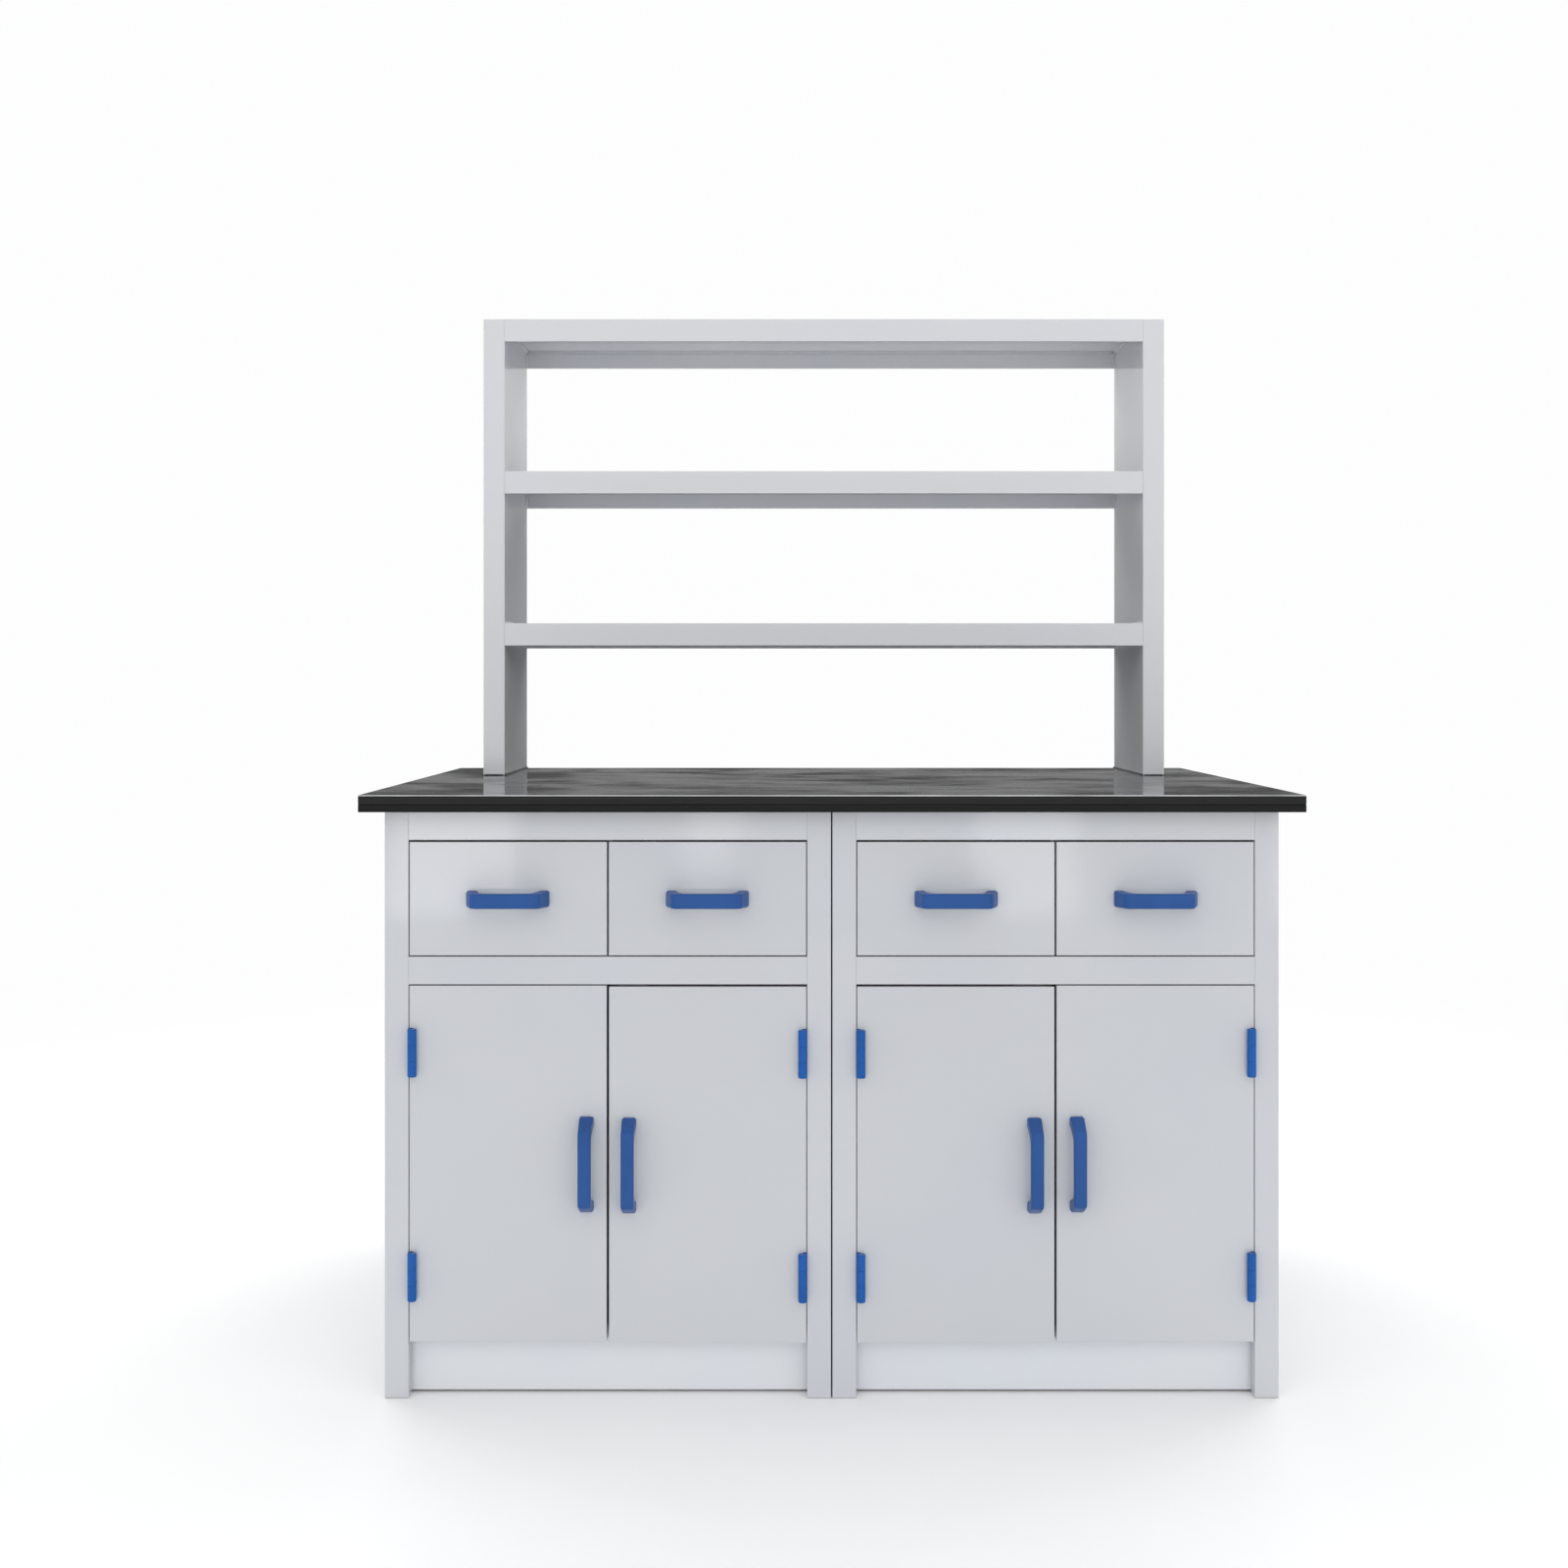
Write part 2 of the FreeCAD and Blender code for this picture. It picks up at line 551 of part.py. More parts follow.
s0, s1 = TOP_Z0, SLAB_Z
front_strip = box(-HW, HW, TOP_Y0, TOP_Y0 + STRIP_W, s0, s1)
back_strip = box(-HW, HW, TOP_Y1 - STRIP_W, TOP_Y1, s0, s1)
end_strip = box(-HW, -HW + STRIP_W, TOP_Y0 + STRIP_W, TOP_Y1 - STRIP_W, s0, s1)
pack = box(-0.5 * PACK_W, 0.5 * PACK_W, TOP_Y0 + STRIP_W, TOP_Y1 - STRIP_W, s0, s1)


def ease_outer(s):
    hits = []
    for e in s.Edges:
        c = e.CenterOfMass
        on_y = abs(c.y - TOP_Y0) < 1e-6 or abs(c.y - TOP_Y1) < 1e-6
        on_x = abs(abs(c.x) - HW) < 1e-6
        flat = abs(e.Vertexes[0].Z - e.Vertexes[1].Z) < 1e-6
        if flat and (on_y or (on_x and abs(c.y) > -1)):
            hits.append(e)
    return s.makeChamfer(0.6, hits)


save("worktop_edge_strips", [
    ease_outer(front_strip), ease_outer(back_strip),
    ease_outer(end_strip), mirrored(ease_outer(end_strip)), pack])

# ---------------------------------------------------------------- rack
RY1 = TOP_Y1
RY0 = RY1 - RACK_D
RX1 = 0.5 * RACK_W
RX0 = RX1 - POST_T
RZ1 = TOP_Z + RACK_H
w = POST_WALL
post = eased(-RX1, -RX0, RY0, RY1, TOP_Z, RZ1, 1.0)
post = post.cut(box(-RX1 + w, -RX0 - w, RY0 + w, RY1 - w, TOP_Z - 1, RZ1 + 1))
save("rack_left_post", post.Solids[0])
save("rack_right_post", mirrored(post.Solids[0]))

plugs = []
for z0 in (TOP_Z, RZ1 - 6.0):
    plug = box(-RX1 + w, -RX0 - w, RY0 + w, RY1 - w, z0, z0 + 6.0)
    if z0 == TOP_Z:
        for x, y in bolt_points:
            if x < 0:
                plug = plug.cut(cyl(4.05, (x, y, z0 - 1), (0, 0, 1), 8.0))
    plugs.append(plug.Solids[0])
save("rack_post_plugs", both(*plugs))


def bolt(x, y):
    head = cyl(6.5, (x, y, SLAB_Z - 5.0), (0, 0, 1), 5.0)
    hexa = cyl(2.9, (x, y, SLAB_Z - 5.5), (0, 0, 1), 3.0)
    shank = cyl(4.0, (x, y, SLAB_Z), (0, 0, 1), SLAB_T + 11.0)
    return head.fuse(shank).cut(hexa).removeSplitter().Solids[0]


save("rack_bolts", [bolt(x, y) for x, y in bolt_points])


def tray_shelf(z_top):
    """A sheet between a front and a back edge, both turned down."""
    t = SHEET
    z0 = z_top - RACK_LIP
    return [
        box(-RX0, RX0, RY0 + t, RY1 - t, z_top - t, z_top),
        eased(-RX0, RX0, RY0, RY0 + t, z0, z_top, EASE),
        eased(-RX0, RX0, RY1 - t, RY1, z0, z_top, EASE),
    ]


save("rack_lower_shelf", tray_shelf(TOP_Z + RACK_STEP))
save("rack_upper_shelf", tray_shelf(TOP_Z + 2 * RACK_STEP))
save("rack_top_board", tray_shelf(RZ1))
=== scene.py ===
import math
import random

import bpy
import bmesh
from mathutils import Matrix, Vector


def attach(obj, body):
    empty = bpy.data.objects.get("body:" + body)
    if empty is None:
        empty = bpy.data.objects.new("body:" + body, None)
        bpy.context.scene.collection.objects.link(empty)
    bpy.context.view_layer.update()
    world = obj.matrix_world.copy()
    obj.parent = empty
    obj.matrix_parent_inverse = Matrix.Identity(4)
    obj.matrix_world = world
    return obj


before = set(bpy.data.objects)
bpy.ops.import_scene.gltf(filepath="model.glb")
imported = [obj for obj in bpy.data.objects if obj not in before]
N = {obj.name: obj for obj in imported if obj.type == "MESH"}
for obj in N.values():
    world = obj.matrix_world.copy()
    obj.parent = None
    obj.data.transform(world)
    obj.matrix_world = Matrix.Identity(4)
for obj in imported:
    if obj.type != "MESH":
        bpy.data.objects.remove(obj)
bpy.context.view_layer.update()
scene = bpy.context.scene


# ------------------------------------------------------------------ materials
def sock(node, name):
    return node.inputs[name]


class Mat:
    """A small builder for one procedural material."""

    def __init__(self, name):
        self.m = bpy.data.materials.new(name)
        self.m.use_nodes = True
        t = self.m.node_tree
        t.nodes.clear()
        self.t = t
        self.out = t.nodes.new("ShaderNodeOutputMaterial")
        self.b = t.nodes.new("ShaderNodeBsdfPrincipled")
        t.links.new(self.b.outputs[0], self.out.inputs[0])
        self.co = t.nodes.new("ShaderNodeTexCoord").outputs["Object"]

    def link(self, a, b):
        self.t.links.new(a, b)

    def mapping(self, scale, rot=(0, 0, 0), loc=(0, 0, 0), vec=None):
        n = self.t.nodes.new("ShaderNodeMapping")
        n.inputs["Scale"].default_value = scale
        n.inputs["Rotation"].default_value = rot
        n.inputs["Location"].default_value = loc
        self.link(vec or self.co, n.inputs["Vector"])
        return n.outputs[0]

    def noise(self, scale, detail=3.0, rough=0.5, vec=None, distort=0.0):
        n = self.t.nodes.new("ShaderNodeTexNoise")
        n.inputs["Scale"].default_value = scale
        n.inputs["Detail"].default_value = detail
        n.inputs["Roughness"].default_value = rough
        n.inputs["Distortion"].default_value = distort
        self.link(vec or self.co, n.inputs["Vector"])
        return n.outputs[0]

    def voronoi(self, scale, vec=None, feature="F1"):
        n = self.t.nodes.new("ShaderNodeTexVoronoi")
        n.feature = feature
        n.inputs["Scale"].default_value = scale
        self.link(vec or self.co, n.inputs["Vector"])
        return n.outputs["Distance"]

    def remap(self, v, a, b, c, d):
        n = self.t.nodes.new("ShaderNodeMapRange")
        n.clamp = True
        for k, x in zip(("From Min", "From Max", "To Min", "To Max"), (a, b, c, d)):
            n.inputs[k].default_value = x
        self.link(v, n.inputs["Value"])
        return n.outputs[0]

    def math(self, op, a, b):
        n = self.t.nodes.new("ShaderNodeMath")
        n.operation = op
        for i, x in enumerate((a, b)):
            if isinstance(x, (int, float)):
                n.inputs[i].default_value = x
            else:
                self.link(x, n.inputs[i])
        return n.outputs[0]

    def mix(self, fac, a, b):
        n = self.t.nodes.new("ShaderNodeMix")
        n.data_type = "RGBA"
        self.link(fac, n.inputs["Factor"])
        for key, x in (("A", a), ("B", b)):
            s = [i for i in n.inputs if i.name == key and i.type == "RGBA"][0]
            if isinstance(x, tuple):
                s.default_value = (*x, 1)
            else:
                self.link(x, s)
        return [o for o in n.outputs if o.type == "RGBA"][0]

    def bump(self, height, strength, dist, prev=None):
        n = self.t.nodes.new("ShaderNodeBump")
        n.inputs["Strength"].default_value = strength
        n.inputs["Distance"].default_value = dist
        self.link(height, n.inputs["Height"])
        if prev is not None:
            self.link(prev, n.inputs["Normal"])
        return n.outputs[0]

    def axis(self, which):
        n = self.t.nodes.new("ShaderNodeSeparateXYZ")
        self.link(self.co, n.inputs[0])
        return n.outputs["XYZ".index(which)]

    def set(self, **kw):
        for k, v in kw.items():
            s = self.b.inputs[k.replace("_", " ")]
            if isinstance(v, tuple):
                s.default_value = (*v, 1) if len(v) == 3 and s.type == "RGBA" else v
            elif isinstance(v, (int, float)):
                s.default_value = v
            else:
                self.link(v, s)


def scaled(tone, k):
    return tuple(min(1.0, c * k) for c in tone)


def pp_sheet(name, tone, seed, wave=1.0, rough=(0.042, 0.072)):
    """Extruded polypropylene sheet: glossy, slow waves in the surface, a faint cloudiness, a few hairline scratches."""
    m = Mat(name)
    off = m.mapping((1, 1, 1), loc=(seed * 1.7, seed * 0.9, seed * 2.3))
    cloud = m.remap(m.noise(1.7, 3, 0.5, off), 0.34, 0.66, 0, 1)
    col = m.mix(cloud, scaled(tone, 0.985), scaled(tone, 1.012))
    # the sheet is a touch cooler in places
    cool = m.remap(m.noise(4.3, 2, 0.5, off), 0.42, 0.70, 0, 1)
    col = m.mix(cool, col, (tone[0] * 0.980, tone[1] * 0.990, tone[2] * 1.008))
    # hairlines from handling, in loose groups
    fine = m.noise(1.0, 2, 0.6, m.mapping((9, 40, 520), rot=(0.08, 0.05, 0.2), vec=off))
    group = m.remap(m.noise(3.2, 2, 0.5, off), 0.52, 0.72, 0.0, 1.0)
    scr = m.math("MULTIPLY", m.remap(fine, 0.68, 0.80, 0.0, 1.0), group)
    col = m.mix(m.math("MULTIPLY", scr, 0.06), col, scaled(tone, 1.10))
    m.set(Base_Color=col)
    r = m.remap(m.noise(2.2, 3, 0.5, off), 0.3, 0.7, rough[0], rough[1])
    m.set(Roughness=m.math("ADD", r, m.math("MULTIPLY", scr, 0.07)))
    slow = m.noise(3.1, 1.0, 0.4, off)
    mid = m.noise(11.0, 1.0, 0.4, off)
    peel = m.noise(380, 2, 0.5, off)
    n1 = m.bump(slow, 0.10 * wave, 0.016)
    n2 = m.bump(mid, 0.10 * wave, 0.0022, n1)
    n3 = m.bump(peel, 0.02, 0.0004, n2)
    m.set(Normal=n3, IOR=1.49)
    return m.m


def worktop_material():
    """Charcoal laminate: speckled satin top with dried wipe marks, a painted highlight along the rounded front edge and
    a near-black cut edge.
    """
    m = Mat("worktop_laminate")
    # cut edge, with the fine lines of its layers
    lines = m.noise(1.0, 2, 0.5, m.mapping((5, 5, 2300)))
    broad = m.noise(1.0, 2, 0.5, m.mapping((3, 3, 420)))
    edge = m.mix(m.remap(lines, 0.35, 0.65, 0, 1), (0.0048, 0.0050, 0.0053), (0.0090, 0.0093, 0.0096))
    edge = m.mix(m.remap(broad, 0.55, 0.75, 0, 0.5), edge, (0.0180, 0.0184, 0.0188))
    edge = m.mix(m.remap(m.noise(60, 4, 0.7), 0.66, 0.82, 0, 0.22), edge, (0.055, 0.055, 0.056))
    on_top = m.remap(m.axis("Z"), 0.8094, 0.8104, 0.0, 1.0)
    # top
    speck = m.noise(900, 2, 0.7)
    cloud = m.noise(4.0, 4, 0.6)
    col = m.mix(m.remap(speck, 0.35, 0.7, 0, 1), (0.0150, 0.0155, 0.0163), (0.0235, 0.0242, 0.0252))
    # dried wipe marks
    streak = m.noise(1.0, 4, 0.56, m.mapping((5.6, 10.0, 8.0), rot=(0, 0, 0.22)), 0.25)
    dust = m.math("MULTIPLY", m.remap(streak, 0.38, 0.68, 0, 1), m.remap(cloud, 0.3, 0.7, 0.35, 1))
    col = m.mix(m.math("MULTIPLY", dust, 0.12), col, (0.130, 0.132, 0.136))
    col = m.mix(on_top, edge, col)
    # painted highlight: a pale line along the rounded front edge of the top, where it would catch the light, its
    # strength broken up by noise
    z = m.axis("Z")
    arris = m.math("MULTIPLY", m.remap(z, 0.8092, 0.8097, 0, 1), m.remap(z, 0.8106, 0.8109, 1, 0))
    highlight_breakup = m.remap(m.noise(1.0, 3, 0.6, m.mapping((6.0, 6.0, 1.0))), 0.32, 0.62, 0.45, 1.0)
    col = m.mix(m.math("MULTIPLY", arris, highlight_breakup), col, (0.66, 0.665, 0.67))
    m.set(Base_Color=col)
    # handled front margin, a little glossier, with a soft wandering border
    front = m.remap(m.axis("Y"), -0.372, -0.170, 1.0, 0.0)
    wander = m.remap(m.noise(1.0, 4, 0.55, m.mapping((4.0, 7.0, 1.0), loc=(0.35, 0.2, 0.0)), 0.4), 0.2, 0.8, -0.7, 0.5)
    gloss = m.remap(m.math("ADD", front, wander), 0.25, 0.62, 0.0, 1.0)
    r = m.math("ADD", m.remap(m.noise(9, 5, 0.65), 0.3, 0.7, 0.060, 0.105), m.math("MULTIPLY", dust, 0.29))
    r = m.math("MULTIPLY", r, m.remap(gloss, 0.0, 1.0, 1.0, 0.70))
    r_edge = m.remap(m.noise(30, 4, 0.6), 0.3, 0.7, 0.40, 0.56)
    pick = m.t.nodes.new("ShaderNodeMix")
    for src, i in ((on_top, 0), (r_edge, 2), (r, 3)):
        m.link(src, pick.inputs[i])
    m.set(Roughness=pick.outputs[0])
    n1 = m.bump(m.noise(5.0, 2, 0.5), 0.10, 0.006)
    n2 = m.bump(m.noise(1300, 2, 0.5), 0.05, 0.0003, n1)
    m.set(Normal=n2, IOR=1.45)
    m.b.inputs["Specular IOR Level"].default_value = 0.36
    return m.m


def edge_material():
    """Lower layer of the worktop: near black, with the fine horizontal lines of its layers."""
    m = Mat("worktop_cut_edge")
    lines = m.noise(1.0, 2, 0.5, m.mapping((5, 5, 2300)))
    broad = m.noise(1.0, 2, 0.5, m.mapping((3, 3, 420)))
    col = m.mix(m.remap(lines, 0.35, 0.65, 0, 1), (0.0048, 0.0050, 0.0053), (0.0090, 0.0093, 0.0096))
    col = m.mix(m.remap(broad, 0.55, 0.75, 0, 0.5), col, (0.0180, 0.0184, 0.0188))
    scuff = m.remap(m.noise(60, 4, 0.7), 0.66, 0.82, 0, 0.22)
    col = m.mix(scuff, col, (0.055, 0.055, 0.056))
    m.set(Base_Color=col, Roughness=m.remap(m.noise(30, 4, 0.6), 0.3, 0.7, 0.40, 0.56))
    m.set(Normal=m.bump(lines, 0.10, 0.0004), IOR=1.45)
    m.b.inputs["Specular IOR Level"].default_value = 0.22
    return m.m


def foot_shadow_bead_material():
    """Dark bead at the rack feet, a painted shadow line standing in for the shade at the foot of the posts: smooth
    skin, faint sheen.
    """
    m = Mat("dark_foot_painted_shadow")
    col = m.mix(m.remap(m.noise(160, 3, 0.6), 0.3, 0.7, 0, 1), (0.010, 0.010, 0.011), (0.020, 0.020, 0.021))
    m.set(Base_Color=col, Roughness=m.remap(m.noise(90, 3, 0.6), 0.3, 0.7, 0.38, 0.55), IOR=1.41)
    m.set(Normal=m.bump(m.noise(600, 2, 0.5), 0.10, 0.0004))
    return m.m


def moulded(name, tone, rough, grain=900, wear=0.12, spec=0.17):
    """Moulded polypropylene with a fine grain, faint flow marks and slightly paler rubbed places."""
    m = Mat(name)
    flow = m.noise(18, 3, 0.5)
    col = m.mix(m.remap(flow, 0.3, 0.7, 0, 1), scaled(tone, 0.93), scaled(tone, 1.07))
    rub = m.remap(m.noise(70, 5, 0.7), 0.60, 0.82, 0, wear)
    col = m.mix(rub, col, tuple(min(1, c * 1.3 + 0.010) for c in tone))
    m.set(Base_Color=col)
    m.set(Roughness=m.remap(m.noise(45, 4, 0.6), 0.3, 0.7, rough - 0.05, rough + 0.06))
    m.set(Normal=m.bump(m.noise(grain, 3, 0.6), 0.12, 0.0004), IOR=1.49)
    m.b.inputs["Specular IOR Level"].default_value = spec
    return m.m


def steel_material():
    m = Mat("stainless_steel")
    brush = m.noise(1.0, 3, 0.6, m.mapping((900, 120, 900)))
    col = m.mix(m.remap(brush, 0.3, 0.7, 0, 1), (0.50, 0.50, 0.51), (0.66, 0.66, 0.67))
    m.set(Base_Color=col, Metallic=1.0, Roughness=m.remap(brush, 0.3, 0.7, 0.24, 0.42))
    m.set(Normal=m.bump(brush, 0.08, 0.0003))
    return m.m


def weld_material():
    m = Mat("pp_weld_rod")
    tone = (0.62, 0.64, 0.665)
    col = m.mix(m.remap(m.noise(120, 3, 0.6), 0.3, 0.7, 0, 1), tuple(c * 0.93 for c in tone), tone)
    m.set(Base_Color=col, Roughness=m.remap(m.noise(200, 3, 0.6), 0.3, 0.7, 0.28, 0.45), IOR=1.49)
    m.set(Normal=m.bump(m.noise(500, 2, 0.5), 0.10, 0.0005))
    return m.m


TONE = (0.570, 0.587, 0.614)
front_mats = [pp_sheet("pp_front_%d" % i, scaled(TONE, k), i + 1) for i, k in enumerate((1.0, 0.99, 0.985, 0.995))]
frame_mat = pp_sheet("pp_frame", scaled(TONE, 1.01), 11, 0.7)
carcass_mat = pp_sheet("pp_carcass", scaled(TONE, 1.03), 15, 0.8, (0.10, 0.16))
# painted light: the plinth is a brighter copy of the same sheet, standing in for the light bounced up onto it from the
# floor
plinth_lit_copy_mat = pp_sheet("pp_plinth_painted_bright", scaled(TONE, 1.27), 17, 0.8)
rack_mat = pp_sheet("pp_rack", (0.655, 0.664, 0.690), 21, 0.6, (0.10, 0.15))
rail_mat = pp_sheet("pp_top_rail", scaled(TONE, 1.05), 31, 0.7)
box_mat = pp_sheet("pp_drawer_box", scaled(TONE, 1.04), 27, 0.8, (0.13, 0.19))
top_mat = worktop_material()
edge_mat = edge_material()
grip_mat = moulded("blue_grip", (0.024, 0.088, 0.292), 0.36)
hinge_mat = moulded("blue_hinge", (0.011, 0.102, 0.390), 0.30)
fitting_mat = moulded("grey_fitting", (0.40, 0.41, 0.43), 0.45, spec=0.4)
steel_mat = steel_material()
weld_mat = weld_material()
foot_shadow_bead_mat = foot_shadow_bead_material()


def paint(node, mat):
    o = N[node]
    o.data.materials.clear()
    o.data.materials.append(mat)


for name in N:
    if name == "worktop_slab":
        paint(name, top_mat)
    elif name == "worktop_edge_strips":
        paint(name, edge_mat)
    elif name.endswith("_handle"):
        paint(name, grip_mat)
    elif name.endswith("hinge_leaves") or name == "hinge_frame_leaves":
        paint(name, hinge_mat)
    elif name.endswith("_screws") or name.endswith("_fittings") or name in ("hinge_pins", "rack_bolts"):
        paint(name, steel_mat)
    elif name in ("door_catches", "shelf_pegs", "drawer_channels"):
        paint(name, fitting_mat)
    elif name.startswith("door_") or (name.startswith("drawer_") and name.endswith("_front")):
        paint(name, front_mats[int(name.split("_")[1]) - 1])
    elif name.startswith("drawer_") and name.endswith("_box"):
        paint(name, box_mat)
    elif name.startswith("rack_"):
        paint(name, rack_mat)
    elif name == "top_rails":
        paint(name, rail_mat)
    elif name in ("front_stiles", "mid_rails"):
        paint(name, frame_mat)
    elif name == "plinths":
        paint(name, plinth_lit_copy_mat)
    else:
        paint(name, carcass_mat)


# ------------------------------------------------------------------ weld beads
def bead_object(name, runs, body, seed, mat=weld_mat):
    """Weld beads in inside corners, and with a dark material the painted shadow bead at the rack feet. A run is (start,
    end, along one face, along the other face, size).
    """
    rnd = random.Random(seed)
    bm = bmesh.new()
    for p0, p1, u, w, size in runs:
        p0, p1, u, w = Vector(p0), Vector(p1), Vector(u), Vector(w)
        length = (p1 - p0).length
        n = max(4, int(length / 0.0028))
        ph, drift = rnd.uniform(0, 6.28), rnd.uniform(0, 6.28)
        rings = []
        for i in range(n + 1):
            t = i / n
            end = min(1.0, min(t, 1 - t) * length / 0.004 + 0.35)
            s = size * end * (1 + 0.05 * math.sin(i * 1.9 + ph) + 0.07 * math.sin(t * length * 38 + drift)
                              + rnd.uniform(-0.035, 0.035))
            c = p0.lerp(p1, t)
            ring = [bm.verts.new(c - (u + w) * 0.0002)]
            for k in range(5):
                a = math.pi / 2 * k / 4
                d = 0.86 + 0.14 * abs(math.cos(2 * a))
                ring.append(bm.verts.new(c + (u * math.cos(a) + w * math.sin(a)) * s * d))
            rings.append(ring)
        for a, b in zip(rings, rings[1:]):
            for k in range(6):
                bm.faces.new((a[k], a[(k + 1) % 6], b[(k + 1) % 6], b[k]))
        bm.faces.new(rings[0])
        bm.faces.new(list(reversed(rings[-1])))
    bmesh.ops.recalc_face_normals(bm, faces=bm.faces)
    me = bpy.data.meshes.new(name)
    bm.to_mesh(me)
    bm.free()
    me.polygons.foreach_set("use_smooth", [True] * len(me.polygons))
    o = bpy.data.objects.new(name, me)
    scene.collection.objects.link(o)
    me.materials.append(mat)
    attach(o, body)
    return o


X, Y, Z = Vector((1, 0, 0)), Vector((0, 1, 0)), Vector((0, 0, 1))


def mirrored(runs, x=0.0):
    out = []
    for p0, p1, u, w, s in runs:
        f = lambda p: Vector((2 * x - p[0], p[1], p[2]))
        g = lambda d: Vector((-d[0], d[1], d[2]))
        out.append((f(p0), f(p1), g(u), g(w), s))
    return out


mid_x = -0.3005
# inside a cupboard: floor to sides and back, sides to back above and below the shelf, deck to sides
cup = []
x0, x1, yf, yb, zb, zd = -0.592, -0.009, -0.3235, 0.347, 0.091, 0.560
for xx, s in ((x0, 1), (x1, -1)):
    cup.append(((xx, yf + 0.004, zb), (xx, yb, zb), X * s, Z, 0.0045))
    cup.append(((xx, yf + 0.004, zd), (xx, yb, zd), X * s, -Z, 0.0045))
    for za, zc in ((zb + 0.002, 0.318), (0.330, zd - 0.002)):
        cup.append(((xx, yb, za), (xx, yb, zc), X * s, -Y, 0.0045))
cup.append(((x0 + 0.003, yb, zb), (x1 - 0.003, yb, zb), -Y, Z, 0.0045))
cup.append(((x0 + 0.003, yb, zd), (x1 - 0.003, yb, zd), -Y, -Z, 0.0045))
bead_object("cupboard_welds", cup + mirrored(cup), "bench", 3)

# drawer boxes: floor to the four walls, and the upright corners
bx0, bx1, by0, by1, bz0, bz1 = -0.547, -0.3275, -0.325, 0.139, 0.609, 0.712
dw = []
for xx, s in ((bx0, 1), (bx1, -1)):
    dw.append(((xx, by0 + 0.003, bz0), (xx, by1 - 0.003, bz0), X * s, Z, 0.0040))
    for yy, t in ((by0, 1), (by1, -1)):
        dw.append(((xx, yy, bz0 + 0.002), (xx, yy, bz1), X * s, Y * t, 0.0040))
for yy, t in ((by0, 1), (by1, -1)):
    dw.append(((bx0 + 0.003, yy, bz0), (bx1 - 0.003, yy, bz0), Y * t, Z, 0.0040))
sets = [dw, mirrored(dw, mid_x)]
sets += [mirrored(sets[1]), mirrored(sets[0])]
for k, runs in enumerate(sets, 1):
    bead_object("drawer_%d_welds" % k, runs, "drawer_%d" % k, 10 + k)

# rack: welds at the ends of the boards to the posts and the turned-down edges to the sheets; at the feet on the
# worktop, a dark bead as painted shadow
rw = []
ry0, ry1 = 0.130, 0.380
rx = 0.5135
for zt in (1.0557, 1.3004, 1.545):
    zu = zt - 0.008
    rw.append(((-rx, ry0 + 0.009, zu), (-rx, ry1 - 0.009, zu), X, -Z, 0.0042))
    rw.append(((-rx, ry0 + 0.008, zu), (-rx, ry0 + 0.008, zt - 0.035), X, Y, 0.0038))
    rw.append(((-rx, ry1 - 0.008, zu), (-rx, ry1 - 0.008, zt - 0.035), X, -Y, 0.0038))
    rw.append(((-rx + 0.003, ry0 + 0.008, zu), (rx - 0.003, ry0 + 0.008, zu), Y, -Z, 0.0040))
    rw.append(((-rx + 0.003, ry1 - 0.008, zu), (rx - 0.003, ry1 - 0.008, zu), -Y, -Z, 0.0040))
    if zt < 1.5:
        rw.append(((-rx, ry0 + 0.004, zt), (-rx, ry1 - 0.004, zt), X, Z, 0.0035))
# painted shadow: a dark bead along the foot of each post on the worktop, standing in for the shadow line there
foot = []
for xx, sx in ((-rx, 1), (-0.5475, -1)):
    foot.append(((xx, ry0 + 0.0005, 0.811), (xx, ry1 - 0.001, 0.811), X * sx, Z, 0.0026))
foot.append(((-0.5470, ry0, 0.811), (-rx - 0.0005, ry0, 0.811), -Y, Z, 0.0018))
one_side = [r for r in rw if r[2] != Y and r[2] != -Y]
across = [r for r in rw if r[2] == Y or r[2] == -Y]
bead_object("rack_welds", one_side + mirrored(one_side) + across, "bench", 5)
bead_object("rack_foot_painted_shadow", foot + mirrored(foot), "bench", 6, foot_shadow_bead_mat)


# ------------------------------------------------------------------ floor, light, camera
def floor():
    bm = bmesh.new()
    bmesh.ops.create_circle(bm, cap_ends=True, segments=96, radius=9.0)
    me = bpy.data.meshes.new("floor")
    bm.to_mesh(me)
    bm.free()
    o = bpy.data.objects.new("floor", me)
    scene.collection.objects.link(o)
    m = Mat("floor_pale")
    c = m.noise(1.2, 4, 0.6)
    m.set(Base_Color=m.mix(m.remap(c, 0.3, 0.7, 0, 1), (0.95, 0.95, 0.953), (0.97, 0.97, 0.97)))
    m.set(Roughness=m.remap(m.noise(9, 4, 0.6), 0.3, 0.7, 0.55, 0.7))
    # the floor fades out round the bench, so it meets the background without a line
    length = m.t.nodes.new("ShaderNodeVectorMath")
    length.operation = "LENGTH"
    m.link(m.co, length.inputs[0])
    fade = m.t.nodes.new("ShaderNodeMapRange")
    fade.interpolation_type = "SMOOTHSTEP"
    for k, x in zip(("From Min", "From Max", "To Min", "To Max"), (1.0, 3.4, 1.0, 0.0)):
        fade.inputs[k].default_value = x
    m.link(length.outputs["Value"], fade.inputs["Value"])
    m.set(Alpha=fade.outputs[0])
    me.materials.append(m.m)
    o.location = (0, 0, -0.0005)


floor()


def area(name, loc, target, size, power, color=(1, 1, 1)):
    d = bpy.data.lights.new(name, "AREA")
    d.shape = "RECTANGLE"
    d.size, d.size_y = size
    d.energy = power
    d.color = color
    o = bpy.data.objects.new(name, d)
    o.location = loc
    o.rotation_euler = (Vector(target) - Vector(loc)).to_track_quat("-Z", "Y").to_euler()
    o.visible_camera = False
    scene.collection.objects.link(o)
    return o


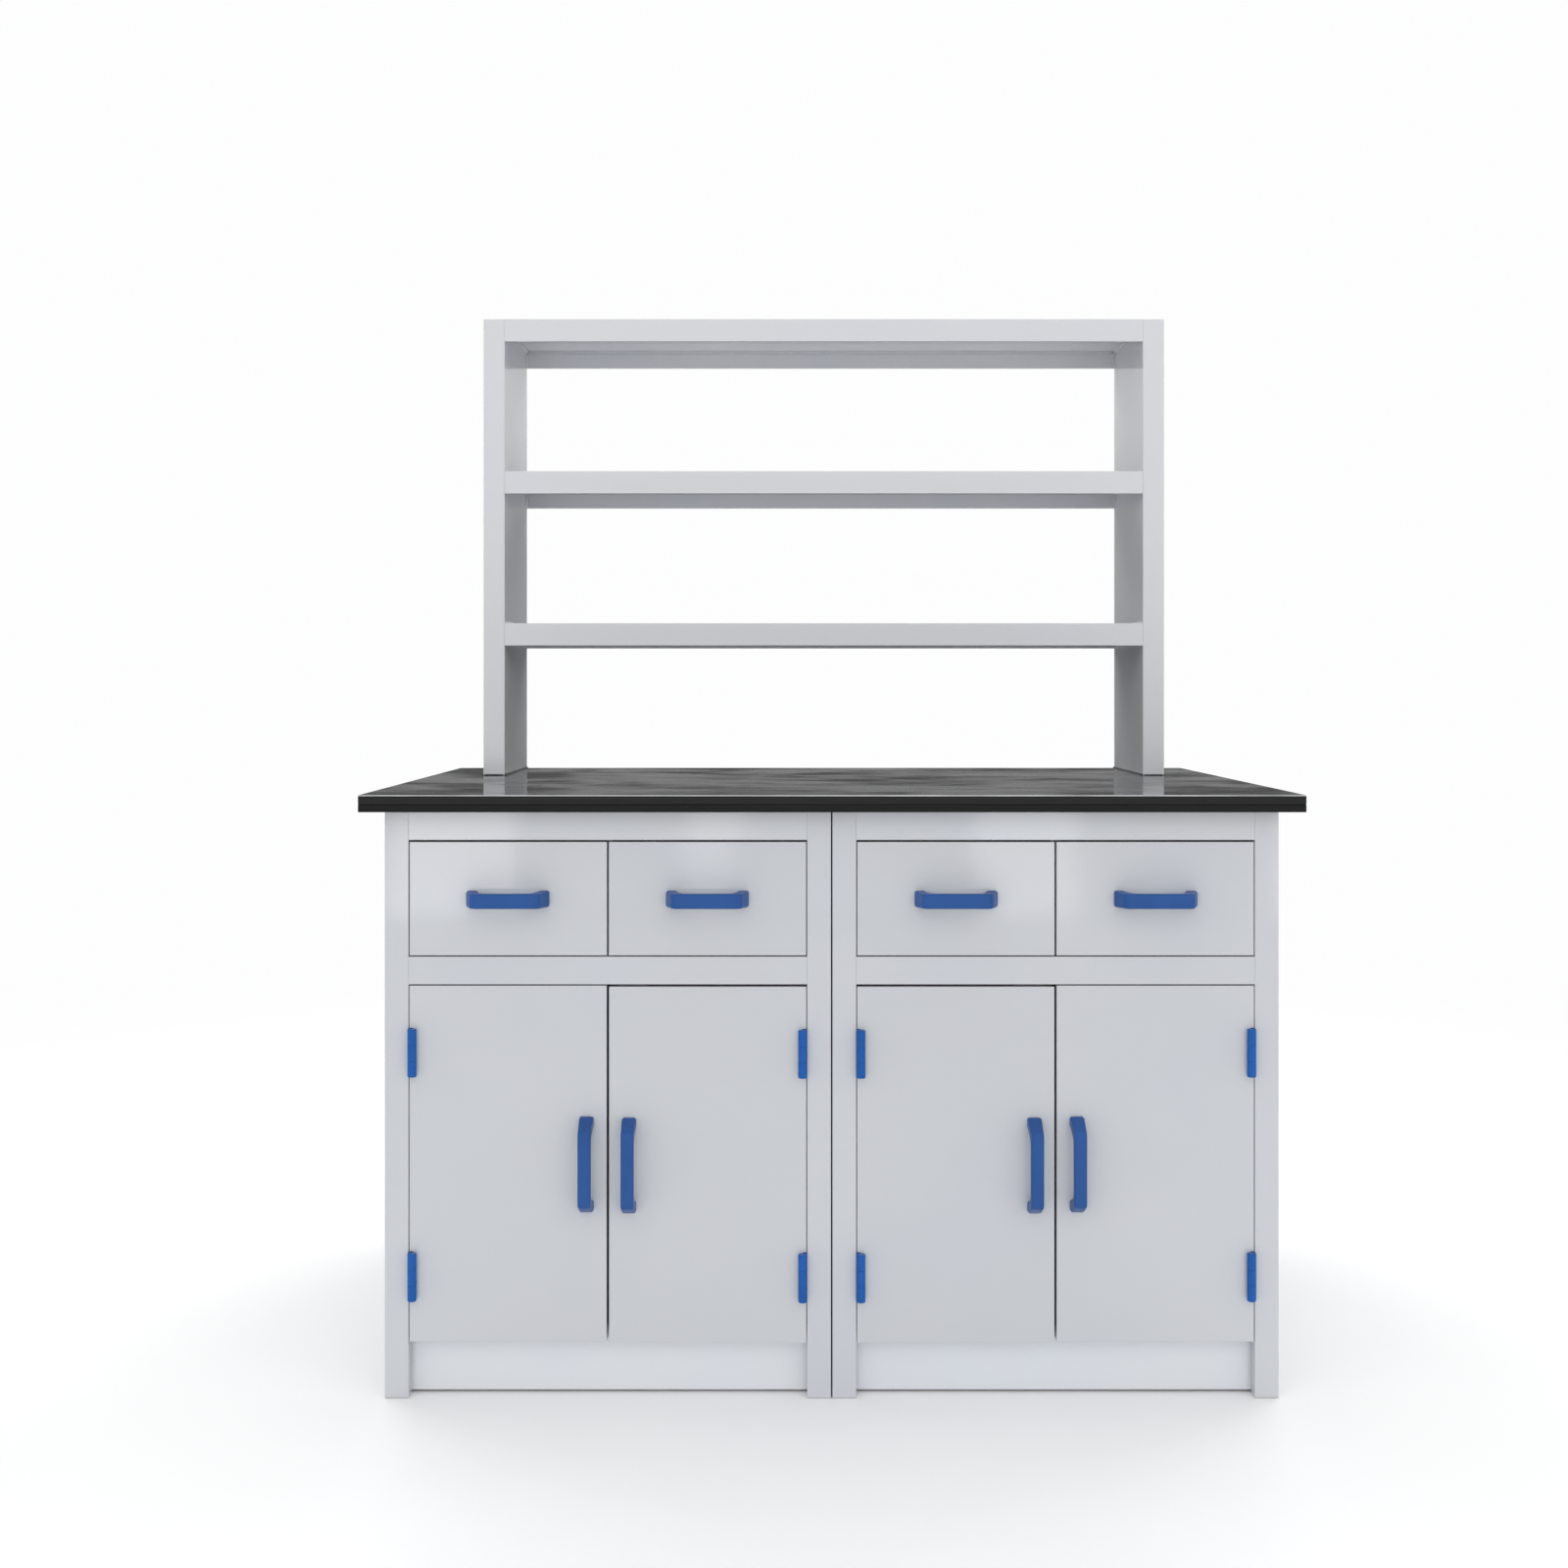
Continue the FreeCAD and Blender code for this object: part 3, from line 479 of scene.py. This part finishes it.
area("key", (-1.6, -4.4, 4.2), (0, -0.2, 0.8), (4.2, 2.6), 20)
area("fill", (2.6, -4.0, 3.8), (0, 0, 0.8), (3.2, 2.6), 17)
area("top", (0.0, -0.2, 6.6), (0, 0.0, 0), (5.6, 4.6), 88).visible_glossy = False
area("back_left", (-2.6, 2.9, 4.6), (0, 0.2, 0.8), (3.4, 2.6), 58)
area("back_right", (2.6, 2.9, 4.6), (0, 0.2, 0.8), (3.4, 2.6), 58)
area("front", (-0.2, -5.6, 1.25), (0, 0, 0.75), (5.0, 2.0), 35).visible_glossy = False
# narrow soft light from the sides, on the rack
for side in (-1, 1):
    o = area("side_%d" % side, (4.4 * side, -1.0, 1.6), (0, 0.2, 1.25), (1.0, 1.0), 0.85)
    o.data.spread = math.radians(30)
    o.visible_glossy = False
# upright panels lower than the worktop, seen as soft bands in the glossy sheet
for i, (px, pw, bright) in enumerate(((-1.42, 0.50, 2.3), (-0.35, 0.22, 1.7), (0.92, 0.44, 1.9), (2.15, 0.40, 2.1))):
    area("panel_%d" % i, (px, -5.2, 0.40), (px * 0.85, 0, 0.40), (pw, 0.8), bright * math.pi * pw * 0.8)

for i, (px, py, pw) in enumerate(((5.4, -0.58, 0.34), (5.4, 0.52, 0.20), (-5.4, -0.40, 0.30), (-5.4, 0.66, 0.24))):
    area("side_panel_%d" % i, (px, py, 0.40), (0, py * 0.85, 0.40), (pw, 0.8), 1.15 * math.pi * pw * 0.8)

w = bpy.data.worlds.new("studio")
scene.world = w
w.use_nodes = True
wt = w.node_tree
wt.nodes.clear()
wout = wt.nodes.new("ShaderNodeOutputWorld")
light = wt.nodes.new("ShaderNodeBackground")
seen = wt.nodes.new("ShaderNodeBackground")
mixw = wt.nodes.new("ShaderNodeMixShader")
path = wt.nodes.new("ShaderNodeLightPath")
tc = wt.nodes.new("ShaderNodeTexCoord")
sep = wt.nodes.new("ShaderNodeSeparateXYZ")
rampn = wt.nodes.new("ShaderNodeValToRGB")


def wremap(v, a, b, c, d):
    n = wt.nodes.new("ShaderNodeMapRange")
    n.interpolation_type = "SMOOTHSTEP"
    for key, x in zip(("From Min", "From Max", "To Min", "To Max"), (a, b, c, d)):
        n.inputs[key].default_value = x
    wt.links.new(v, n.inputs["Value"])
    return n.outputs[0]


def wmath(op, a, b):
    n = wt.nodes.new("ShaderNodeMath")
    n.operation = op
    for i, x in enumerate((a, b)):
        if isinstance(x, float):
            n.inputs[i].default_value = x
        else:
            wt.links.new(x, n.inputs[i])
    return n.outputs[0]


mr = wt.nodes.new("ShaderNodeMapRange")
mr.inputs["From Min"].default_value = -1.0
mr.inputs["From Max"].default_value = 1.0
wt.links.new(tc.outputs["Generated"], sep.inputs[0])
wt.links.new(sep.outputs["Z"], mr.inputs["Value"])
wt.links.new(mr.outputs[0], rampn.inputs[0])
e = rampn.color_ramp.elements
e[0].position, e[0].color = 0.0, (1.0, 1.0, 1.0, 1)
e[1].position, e[1].color = 1.0, (0.94, 0.94, 0.94, 1)
k = e.new(0.5)
k.color = (0.98, 0.982, 0.985, 1)
wt.links.new(rampn.outputs[0], light.inputs["Color"])
# a darker band low down behind the bench
low = wremap(sep.outputs["Z"], 0.06, 0.15, 1.0, 0.0)
behind = wremap(sep.outputs["Y"], 0.1, 0.6, 0.0, 0.88)
wt.links.new(wmath("MULTIPLY", wmath("SUBTRACT", 1.0, wmath("MULTIPLY", low, behind)), 0.74), light.inputs["Strength"])
seen.inputs["Color"].default_value = (0.985, 0.986, 0.988, 1)
seen.inputs["Strength"].default_value = 1.0
wt.links.new(path.outputs["Is Camera Ray"], mixw.inputs["Fac"])
wt.links.new(light.outputs[0], mixw.inputs[1])
wt.links.new(seen.outputs[0], mixw.inputs[2])
wt.links.new(mixw.outputs[0], wout.inputs["Surface"])

scene.view_settings.view_transform = "Standard"
scene.view_settings.look = "None"

cam_data = bpy.data.cameras.new("camera")
cam = bpy.data.objects.new("camera", cam_data)
scene.collection.objects.link(cam)
cam.location = (-0.064, -2.736, 0.961)
cam.rotation_euler = (math.pi / 2, 0, 0)
cam_data.sensor_width = 36.0
cam_data.lens = 40.9
cam_data.shift_x = 0.0
cam_data.shift_y = -0.065
cam_data.clip_end = 60
scene.camera = cam
